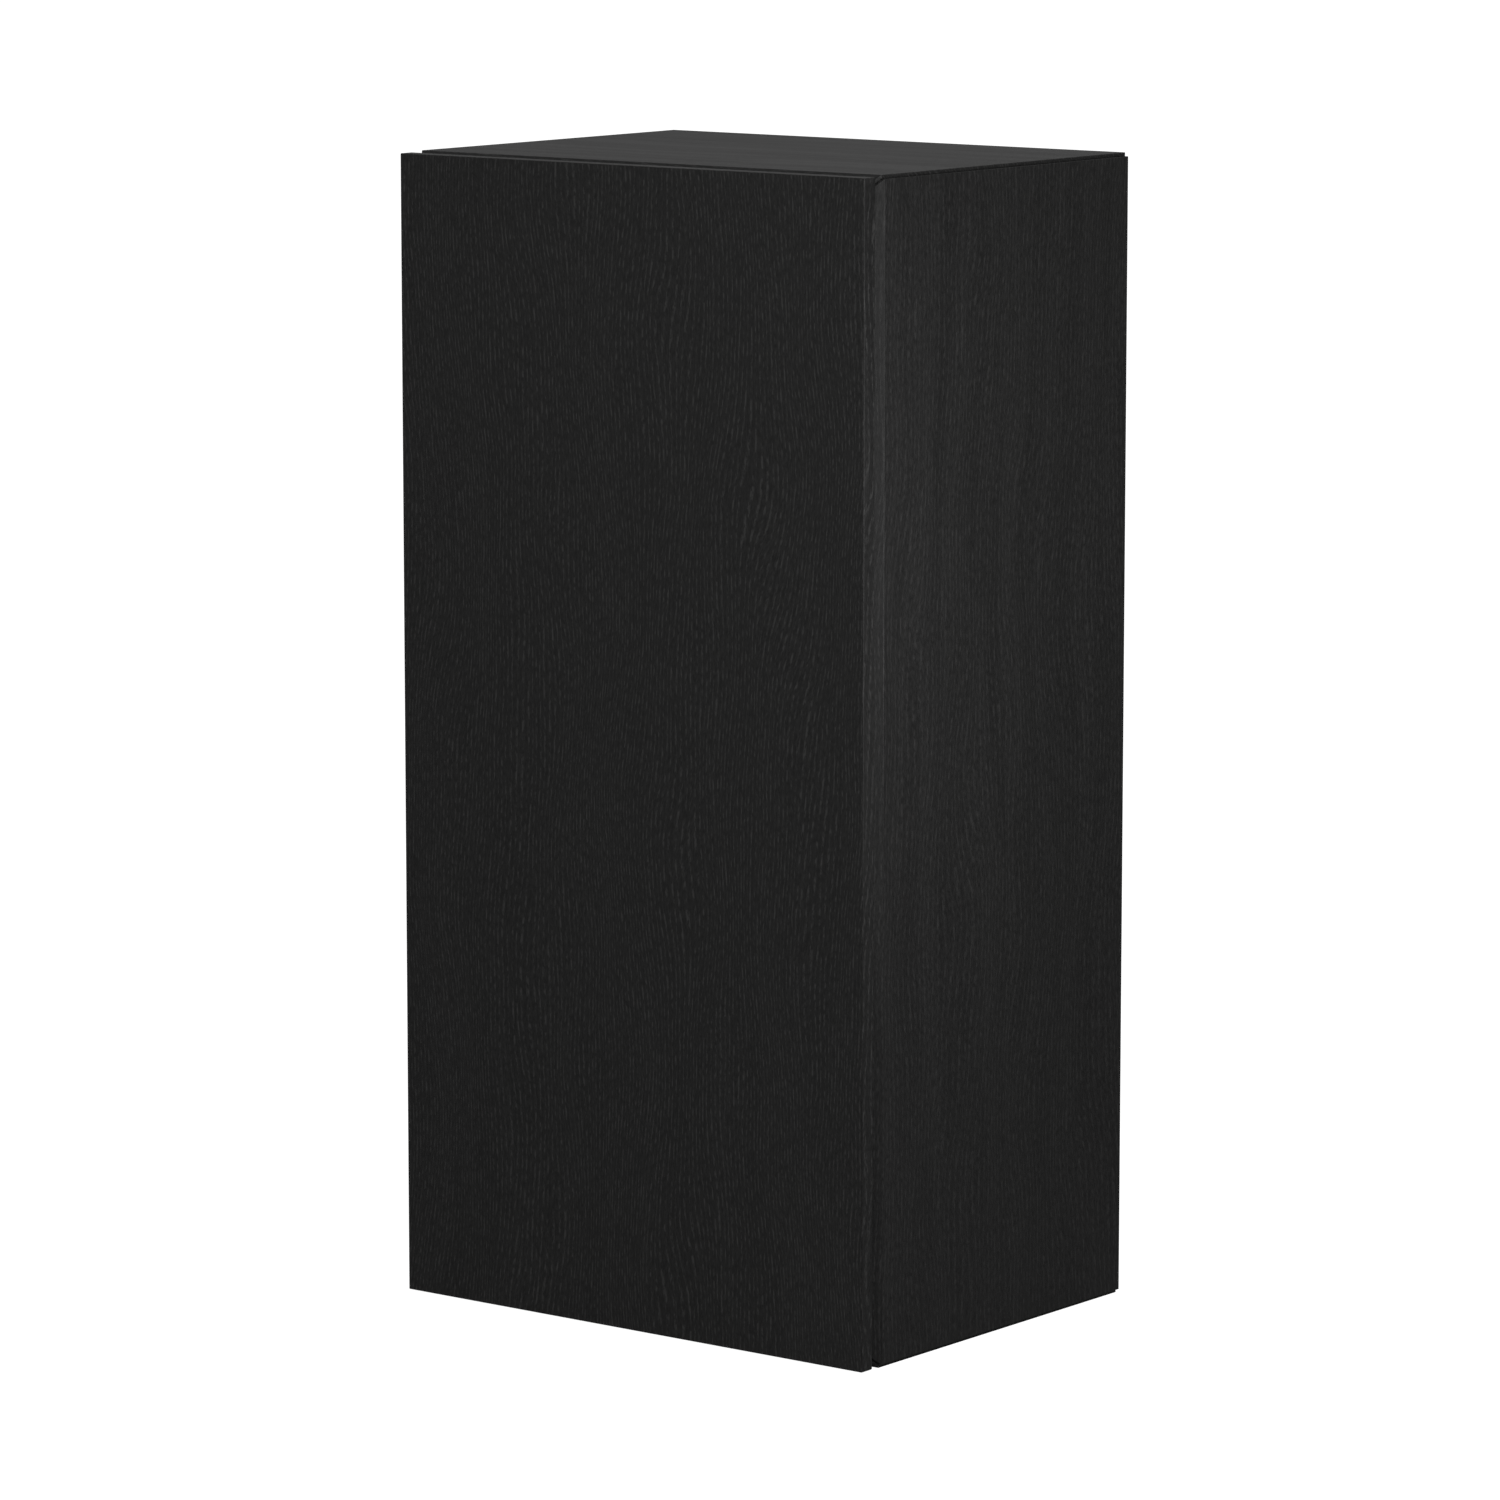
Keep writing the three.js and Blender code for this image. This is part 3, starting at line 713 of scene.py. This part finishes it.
class CABINET_OT_shelves(Operator):
    """Two loose shelves, lipped all round"""

    bl_idname = "cabinet.shelves"
    bl_label = "Shelves"

    def execute(self, context):
        for level in LEVELS:
            bm = block(*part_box(f"shelf_{level}"))
            ease(bm, bm.edges, joinery().arris)
            keep(f"{level}_shelf", bm, ["oak_level"], "cabinet", "shelf_oak", f"shelf_{level}")
        return {"FINISHED"}


class CABINET_OT_back(Operator):
    """Black foil on the grooved-in back panel"""

    bl_idname = "cabinet.back"
    bl_label = "Back panel"

    def execute(self, context):
        paint_node("back_panel", "black_foil")
        return {"FINISHED"}


def paint_node(node, material):
    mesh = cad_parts[node].data
    mesh.materials.clear()
    mesh.materials.append(finish_of(material))


# --------------------------------------------------------------- fittings


class CABINET_OT_shelf_pins(Operator):
    """Nickel pegs with a collar, which carry the shelves"""

    bl_idname = "cabinet.shelf_pins"
    bl_label = "Shelf pins"

    def execute(self, context):
        stem = [(0, -9), (2.1, -9), (2.5, -8.5), (2.5, 0)]
        collar = [(3.9, 0), (3.9, 0.9)]
        profile = stem + collar + [(3.0, 0.9), (3.0, 8), (0, 8)]
        for level in LEVELS:
            for end in ("front", "rear"):
                for name, side in SIDES:
                    node = f"shelf_pin_{level}_{end}_{name}"
                    at = centre_of(node)
                    at.x = side * INNER_RIGHT
                    points = softened([Vector(p) * MM for p in profile], 0.35 * MM)
                    bm = turned(points, facing(-X * side, at), SMALL_ROUND)
                    shade_round(bm)
                    keep(f"peg_{level}_{end}_{name}", bm, ["nickel_plate"], "cabinet", "nickel", node)
        return {"FINISHED"}


class CABINET_OT_bumpers(Operator):
    """Clear domes on the door's back that land on the carcass"""

    bl_idname = "cabinet.bumpers"
    bl_label = "Door bumpers"

    def execute(self, context):
        profile = [(0, 0), (4.0, 0), (4.0, 0.45), (3.3, 1.25), (1.6, 1.58), (0, 1.6)]
        for level in LEVELS:
            node = f"door_bumper_{level}"
            at = centre_of(node)
            at.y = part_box(node)[0].y
            bm = turned(softened([Vector(p) * MM for p in profile], 0.5 * MM), facing(Y, at), BUMPER_ROUND)
            shade_round(bm)
            keep(f"bumper_{level}", bm, ["clear_rubber"], "door", "clear_rubber", node)
        return {"FINISHED"}


def screw(place, reach, radius, head, head_height):
    """A screw along Z with its head's underside at 0: a soft-edged head with a cross recess, and a tip."""
    flat = head * 0.8
    profile = softened([
        Vector(p) for p in (
            (0, -reach), (radius * 0.35, -reach + radius * 0.4), (radius, -reach + radius * 2.2), (radius, 0),
            (head, 0), (head, head_height * 0.45), (flat, head_height),
        )
    ], head_height * 0.3)
    bm = turned(profile, Matrix.Identity(4), SMALL_ROUND)
    rim = [edge for edge in bm.edges if len(edge.link_faces) == 1]
    cap = bmesh.ops.contextual_create(bm, geom=rim)["faces"][0]
    cap.normal_update()
    bmesh.ops.recalc_face_normals(bm, faces=bm.faces)
    cross = plus_sign(Z * head_height, Z, head * 0.52, head * 0.13)
    sink(bm, widest_face(bm, Z), [(cross, [(head_height * 0.8, 0.62)])])
    shade_round(bm)
    bmesh.ops.transform(bm, matrix=place, verts=bm.verts)
    return bm


def hinge_origin(level):
    """Where the hinge's plan starts: the carcass's outer left front corner, at the hinge's height."""
    return Vector((OUTER_LEFT, FRONT, centre_of(f"hinge_cup_{level}").z))


def at_hinge(level, bm):
    bmesh.ops.translate(bm, vec=hinge_origin(level), verts=bm.verts)
    return bm


class CABINET_OT_hinge_arms(Operator):
    """Mounting plates and folded arms, which stay on the cabinet, with their pivot pins and screws"""

    bl_idname = "cabinet.hinge_arms"
    bl_label = "Hinge plates and arms"

    def execute(self, context):
        for level in LEVELS:
            keep(f"plate_{level}", at_hinge(level, self.plate()), ["nickel_plate"], "cabinet", "nickel",
                 f"mounting_plate_{level}")
            keep(f"arm_{level}", at_hinge(level, self.arm()), ["nickel_plate"], "cabinet", "nickel",
                 f"hinge_arm_{level}")
            pin = rivet(*LINK_PIN, LINK_PIVOT)
            keep(f"arm_pivot_{level}", at_hinge(level, pin), ["zinc_plate"], "cabinet", "zinc",
                 f"arm_pin_{level}")
            holder = screw(facing(X, ARM_SCREW_PLACE), *ARM_SCREW)
            keep(f"arm_clamp_screw_{level}", at_hinge(level, holder), ["zinc_plate"], "cabinet", "zinc",
                 f"arm_screw_{level}")
            for letter in "ab":
                node = f"plate_screw_{level}_{letter}"
                at = centre_of(node)
                at.x = INNER_LEFT + PLATE_THICKNESS
                bm = screw(facing(X, at), *PLATE_SCREW)
                keep(f"euro_screw_{level}_{letter}", bm, ["zinc_plate"], "cabinet", "zinc", node)
        return {"FINISHED"}

    def plate(self):
        """A cross-shaped foot with a raised spine for the arm."""
        wing, foot, near, far = 24 * MM, 8 * MM, 26 * MM, 70 * MM
        front, back = 31 * MM, 43 * MM
        corners = [
            (near, -foot), (front, -foot), (front, -wing), (back, -wing), (back, -foot), (far, -foot),
            (far, foot), (back, foot), (back, wing), (front, wing), (front, foot), (near, foot),
        ]
        top = BOARD + PLATE_THICKNESS
        bm = extruded([Vector((0, y, z)) for y, z in corners], X * BOARD, X * top)
        ease(bm, edges_along(bm, X), 2 * MM, 4)
        ease(bm, folds(bm), 0.35 * MM, 2)
        spine = block((top, 30 * MM, -5 * MM), (BOARD + 7.5 * MM, 68 * MM, 5 * MM))
        ease(spine, spine.edges, 0.9 * MM)
        merge_into(bm, spine)
        return bm

    def arm(self):
        """A channel folded from sheet: two cheeks and the web that joins them."""
        p, thickness, half = LINK_PIVOT, 1.2 * MM, 7 * MM
        # Round the pivot, along the side that faces away from the board, and back beside the plate.
        cheek = [
            (p.x - 7 * MM, p.y - 0.6 * MM), (p.x - 1.5 * MM, p.y - 3.2 * MM),
            (p.x + 1.6 * MM, p.y - 3.1 * MM), (p.x + 3.4 * MM, p.y - 0.8 * MM),
            (p.x + 2.6 * MM, p.y + 6 * MM),
            (BOARD + 19 * MM, 22 * MM), (BOARD + 12.5 * MM, 34 * MM), (BOARD + 12 * MM, 75 * MM),
            (BOARD + 8.2 * MM, 76.6 * MM), (BOARD + 8.2 * MM, 30 * MM), (BOARD + 12 * MM, 16 * MM),
            (p.x - 9 * MM, p.y + 5 * MM),
        ]
        web = range(4, 7)
        levels = [[Vector((x, y, z)) for x, y in cheek] for z in (-half, half)]
        return folded(levels, web, thickness, 1.3 * MM)


def rivet(radius, half_length, at):
    """A pivot pin along Z with slightly domed ends."""
    profile = [(0, -half_length), (radius, -half_length), (radius, half_length), (0, half_length)]
    place = Matrix.Translation((at.x, at.y, 0))
    bm = turned(softened(profile, radius * 0.4), place, SMALL_ROUND)
    shade_round(bm)
    return bm


class CABINET_OT_hinge_links(Operator):
    """The strips that carry the door, each with an eye rolled round its pin at both ends"""

    bl_idname = "cabinet.hinge_links"
    bl_label = "Hinge links"

    def execute(self, context):
        for level in LEVELS:
            keep(f"link_{level}", at_hinge(level, self.link()), ["nickel_plate"], "hinge_links", "nickel",
                 f"hinge_link_{level}")
        return {"FINISHED"}

    def link(self):
        thickness, half = 1.2 * MM, 5 * MM
        along = CUP_PIVOT - LINK_PIVOT
        across = Vector((-along.y, along.x)).normalized()
        middle = LINK_PIVOT.lerp(CUP_PIVOT, 0.5) + across * 2 * LINK_BOW
        between_eyes = (0.16, 0.3, 0.45, 0.6, 0.75, 0.88)
        bow = [on_curve(LINK_PIVOT, middle, CUP_PIVOT, t) for t in between_eyes]
        arm_eye = self.eye(LINK_PIVOT, 2.3 * MM, bow[0])
        cup_eye = self.eye(CUP_PIVOT, 1.7 * MM, bow[-1])
        bm = raised(arm_eye + bow + cup_eye[::-1], -half, half)
        thicken(bm, thickness)
        shade_round(bm)
        return bm

    def eye(self, pivot, radius, towards):
        """Points rolled most of the way round a pin, ending where the strip leaves it."""
        leave = math.atan2(towards.y - pivot.y, towards.x - pivot.x)
        turns = [leave + math.radians(a) for a in range(-300, 1, 20)]
        return [pivot + Vector((math.cos(a), math.sin(a))) * radius for a in turns]


class CABINET_OT_hinge_cups(Operator):
    """Pressed cups let into the door's back, with their pins and screws"""

    bl_idname = "cabinet.hinge_cups"
    bl_label = "Hinge cups"

    def execute(self, context):
        for level in LEVELS:
            keep(f"cup_{level}", at_hinge(level, self.cup()), ["nickel_plate"], "door", "nickel",
                 f"hinge_cup_{level}")
            pin = rivet(*CUP_PIN, CUP_PIVOT)
            keep(f"cup_pivot_{level}", at_hinge(level, pin), ["zinc_plate"], "door", "zinc",
                 f"cup_pin_{level}")
            for letter in "ab":
                node = f"cup_screw_{level}_{letter}"
                at = centre_of(node)
                at.y = FRONT - DOOR_GAP + FLANGE
                bm = screw(facing(Y, at), *CUP_SCREW)
                keep(f"flange_screw_{level}_{letter}", bm, ["zinc_plate"], "door", "zinc", node)
        return {"FINISHED"}

    def cup(self):
        """A drawn cup with a rolled rim, and the flange plate that its screws hold."""
        inner = CUP_RADIUS - CUP_WALL
        profile = softened([
            Vector(p) for p in (
                (0, -CUP_DEPTH), (CUP_RADIUS, -CUP_DEPTH), (CUP_RADIUS, 0), (CUP_RADIUS + 1.2 * MM, 0),
                (CUP_RADIUS + 1.2 * MM, FLANGE), (inner, FLANGE), (inner, CUP_WALL - CUP_DEPTH),
                (0, CUP_WALL - CUP_DEPTH),
            )
        ], 0.5 * MM)
        bm = turned(profile, facing(Y, (CUP_CENTRE, -DOOR_GAP, 0)))
        shade_round(bm)
        merge_into(bm, self.flange())
        return bm

    def flange(self):
        """A flat plate with round ends, cut away round the cup's mouth."""
        reach, half = 29 * MM, 8 * MM
        centre = CUP_CENTRE + 8 * MM
        mouth = CUP_RADIUS - 0.2 * MM
        end_steps, mouth_steps = 8, 24
        outline = []
        for sign in (1, -1):
            for i in range(end_steps + 1):
                a = math.pi * i / end_steps
                height = reach - half + half * math.sin(a)
                outline.append(Vector((centre - sign * half * math.cos(a), 0, sign * height)))
        for i in range(mouth_steps + 1):
            a = math.pi * i / mouth_steps
            outline.append(Vector((CUP_CENTRE + mouth * math.sin(a), 0, -mouth * math.cos(a))))
        bm = extruded(outline, Y * (-DOOR_GAP), Y * (FLANGE - DOOR_GAP))
        ease(bm, folds(bm), 0.3 * MM, 2)
        return bm


class CABINET_OT_hangers(Operator):
    """Concealed hangers behind the back panel: channel, hook, adjusting screw and the cap inside"""

    bl_idname = "cabinet.hangers"
    bl_label = "Wall hangers"

    def execute(self, context):
        for name, side in SIDES:
            keep(f"hanger_channel_{name}", self.channel(name), ["zinc_plate"], "cabinet", "zinc",
                 f"hanger_housing_{name}")
            keep(f"hook_{name}", self.hook(name), ["zinc_plate"], "cabinet", "zinc", f"hanger_hook_{name}")
            low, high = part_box(f"hanger_adjuster_{name}")
            at = (low + high) / 2
            at.y = low.y + ADJUSTER_HEAD_HEIGHT
            bm = screw(
                facing(-Y, at), high.y - at.y, ADJUSTER_RADIUS, ADJUSTER_HEAD, ADJUSTER_HEAD_HEIGHT
            )
            keep(f"adjuster_{name}", bm, ["zinc_plate"], "cabinet", "zinc", f"hanger_adjuster_{name}")
            for letter in "ab":
                node = f"hanger_screw_{name}_{letter}"
                at = centre_of(node)
                at.x = side * (INNER_RIGHT - CHANNEL_WALL)
                bm = screw(facing(-X * side, at), *CHANNEL_SCREW)
                keep(f"channel_screw_{name}_{letter}", bm, ["zinc_plate"], "cabinet", "zinc", node)
            keep(f"cap_{name}", self.cap(name), ["black_plastic"], "cabinet", "black_plastic",
                 f"hanger_cap_{name}")
        return {"FINISHED"}

    def channel(self, name):
        """A steel channel, open to the wall, screwed to the side board."""
        low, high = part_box(f"hanger_housing_{name}")
        corners = [(low.x, high.y), (low.x, low.y), (high.x, low.y), (high.x, high.y)]
        bm = raised(softened(corners, 2.5 * MM, 4), low.z, high.z)
        bmesh.ops.recalc_face_normals(bm, faces=bm.faces)
        thicken_inward(bm, CHANNEL_WALL, (low + high) / 2)
        shade_round(bm)
        return bm

    def hook(self, name):
        """A flat hook: a shank against the channel, and a lip that drops behind the wall rail."""
        low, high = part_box(f"hanger_hook_{name}")
        bar = 3 * MM
        lip = 17 * MM
        outline = [
            (low.y, low.z), (low.y + bar, low.z), (low.y + bar, high.z - bar), (high.y - bar, high.z - bar),
            (high.y - bar, high.z - lip), (high.y, high.z - lip), (high.y, high.z), (low.y, high.z),
        ]
        bm = extruded([Vector((0, y, z)) for y, z in outline], X * low.x, X * high.x)
        ease(bm, edges_along(bm, X), 1.0 * MM, 3)
        ease(bm, folds(bm), 0.25 * MM, 2)
        return bm

    def cap(self, name):
        """A shallow moulded cover over the adjusting screw."""
        low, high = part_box(f"hanger_cap_{name}")
        bm = block(low, high)
        open_side = widest_face(bm, Y)
        bmesh.ops.delete(bm, geom=[open_side], context="FACES_ONLY")
        ease(bm, edges_along(bm, Y), 2.5 * MM, 4)
        ease(bm, folds(bm), 0.8 * MM, 3)
        thicken_inward(bm, 1.2 * MM, (low + high) / 2)
        return bm


def thicken_inward(bm, thickness, middle):
    """Thickens an open sheet towards its middle, so that its outside stays where it is."""
    outward = sum((f.normal.dot(f.calc_center_median() - middle) * f.calc_area() for f in bm.faces), 0.0)
    if outward < 0:
        bmesh.ops.reverse_faces(bm, faces=bm.faces)
    thicken(bm, thickness)


# ------------------------------------------------------------------ stage


class CABINET_OT_stage(Operator):
    """A pale floor, soft lights and the camera"""

    bl_idname = "cabinet.stage"
    bl_label = "Stage"

    def execute(self, context):
        look = stage_look()
        self.floor(look)
        self.surround(look)
        for softbox in SOFTBOXES:
            self.softbox(*softbox)
        self.camera(look)
        context.scene.view_settings.view_transform = "Standard"
        return {"FINISHED"}

    def floor(self, look):
        bm = bmesh.new()
        bmesh.ops.create_grid(bm, x_segments=1, y_segments=1, size=FLOOR_SIZE)
        mesh = bpy.data.meshes.new("floor")
        bm.to_mesh(mesh)
        bm.free()
        floor = bpy.data.objects.new("floor", mesh)
        bpy.context.scene.collection.objects.link(floor)
        make = Shader("pale_floor")
        seen = make.add("ShaderNodeLightPath").outputs["Is Camera Ray"]
        mottle = make.noise(make.place((3, 3, 3)), detail=2.0)
        pale = make.blend(make.between(mottle, 0.2, 0.8), (0.30, 0.30, 0.30, 1), (0.32, 0.32, 0.32, 1))
        glow = make.maths("MULTIPLY", seen, look.floor_glow)
        make.feed(make.surface, {
            "Base Color": pale, "Roughness": 0.9, "Specular IOR Level": 0.0,
            "Emission Color": (1, 1, 1, 1), "Emission Strength": glow,
        })
        mesh.materials.append(make.material)

    def surround(self, look):
        world = bpy.data.worlds.new("studio")
        world.use_nodes = True
        bpy.context.scene.world = world
        nodes, links = world.node_tree.nodes, world.node_tree.links
        seen = nodes.new("ShaderNodeLightPath").outputs["Is Camera Ray"]
        strength = nodes.new("ShaderNodeMapRange")
        strength.inputs["To Min"].default_value = look.surround
        strength.inputs["To Max"].default_value = 1.0
        links.new(seen, strength.inputs["Value"])
        links.new(strength.outputs["Result"], nodes["Background"].inputs["Strength"])
        nodes["Background"].inputs["Color"].default_value = (1, 1, 1, 1)

    def softbox(self, name, at, aim, size, power):
        light = bpy.data.lights.new(name, "AREA")
        light.shape = "DISK"
        light.size = size
        light.energy = power
        lamp = bpy.data.objects.new(name, light)
        bpy.context.scene.collection.objects.link(lamp)
        lamp.location = at
        lamp.rotation_euler = (Vector(aim) - Vector(at)).to_track_quat("-Z", "Y").to_euler()

    def camera(self, look):
        camera = bpy.data.objects.new("camera", bpy.data.cameras.new("camera"))
        bpy.context.scene.collection.objects.link(camera)
        camera.location = CAMERA_PLACE
        camera.rotation_euler = (math.radians(90 - CAMERA_TILT), 0, math.radians(CAMERA_AZIMUTH))
        camera.data.sensor_width = SENSOR_WIDTH
        camera.data.lens = look.focal_length
        bpy.context.scene.camera = camera


# ------------------------------------------------------------------ panel


class CABINET_PT_build(Panel):
    """Builds the cabinet piece by piece"""

    bl_idname = "CABINET_PT_build"
    bl_label = "Tall handleless cabinet"
    bl_space_type = "VIEW_3D"
    bl_region_type = "UI"
    bl_category = "Cabinet"

    def draw(self, context):
        layout = self.layout
        for group in ("cabinet_joinery", "cabinet_oak", "cabinet_stage"):
            settings = getattr(context.scene, group)
            column = layout.column(align=True)
            for name in settings.__annotations__:
                column.prop(settings, name)
        for operator in OPERATORS:
            layout.operator(operator.bl_idname)


SETTINGS = {"cabinet_joinery": JoinerySettings, "cabinet_oak": OakSettings, "cabinet_stage": StageSettings}
OPERATORS = (
    CABINET_OT_carcass,
    CABINET_OT_door,
    CABINET_OT_shelves,
    CABINET_OT_back,
    CABINET_OT_shelf_pins,
    CABINET_OT_bumpers,
    CABINET_OT_hinge_arms,
    CABINET_OT_hinge_links,
    CABINET_OT_hinge_cups,
    CABINET_OT_hangers,
    CABINET_OT_stage,
)


def register():
    for cls in (*SETTINGS.values(), *OPERATORS, CABINET_PT_build):
        bpy.utils.register_class(cls)
    for name, cls in SETTINGS.items():
        setattr(bpy.types.Scene, name, PointerProperty(type=cls))


def unregister():
    for name in SETTINGS:
        delattr(bpy.types.Scene, name)
    for cls in (CABINET_PT_build, *reversed(OPERATORS), *reversed(SETTINGS.values())):
        bpy.utils.unregister_class(cls)


def main():
    register()
    for operator in OPERATORS:
        group, name = operator.bl_idname.split(".")
        getattr(getattr(bpy.ops, group), name)()


if __name__ == "__main__":
    main()
